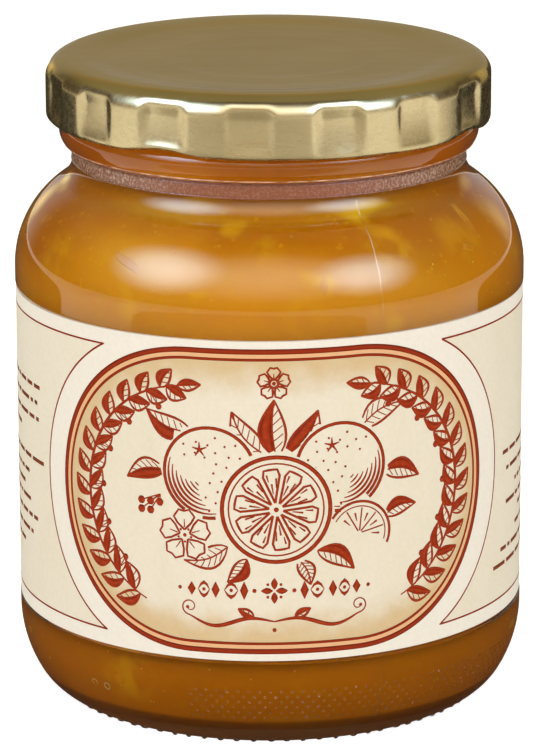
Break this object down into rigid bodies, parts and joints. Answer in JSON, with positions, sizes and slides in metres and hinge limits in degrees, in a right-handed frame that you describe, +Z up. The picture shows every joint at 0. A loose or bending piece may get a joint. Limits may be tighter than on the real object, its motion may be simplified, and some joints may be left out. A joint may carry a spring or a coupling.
{
  "type": "marmalade jar",
  "caption": "Shut clear glass jar of orange marmalade, with a fluted gold twist-off metal lid and a cream paper label wrapped round its straight side.",
  "frame": {"origin": "on the surface that the jar stands on, at the middle of the foot ring", "axes": "+Z up along the jar's axis from the foot to the lid, -Y towards the middle of the label's front"},
  "size_m": [0.0768, 0.0768, 0.0981],
  "materials": {
    "clear_glass": "polished",
    "orange_marmalade": "translucent jelly",
    "label_paper": "matt coated",
    "gold_lacquer": "satin gold lacquer"
  },
  "bodies": {
    "root": {"jar": "clear_glass", "marmalade": "orange_marmalade", "label": "label_paper", "lid": "gold_lacquer"}
  },
  "joints": []
}
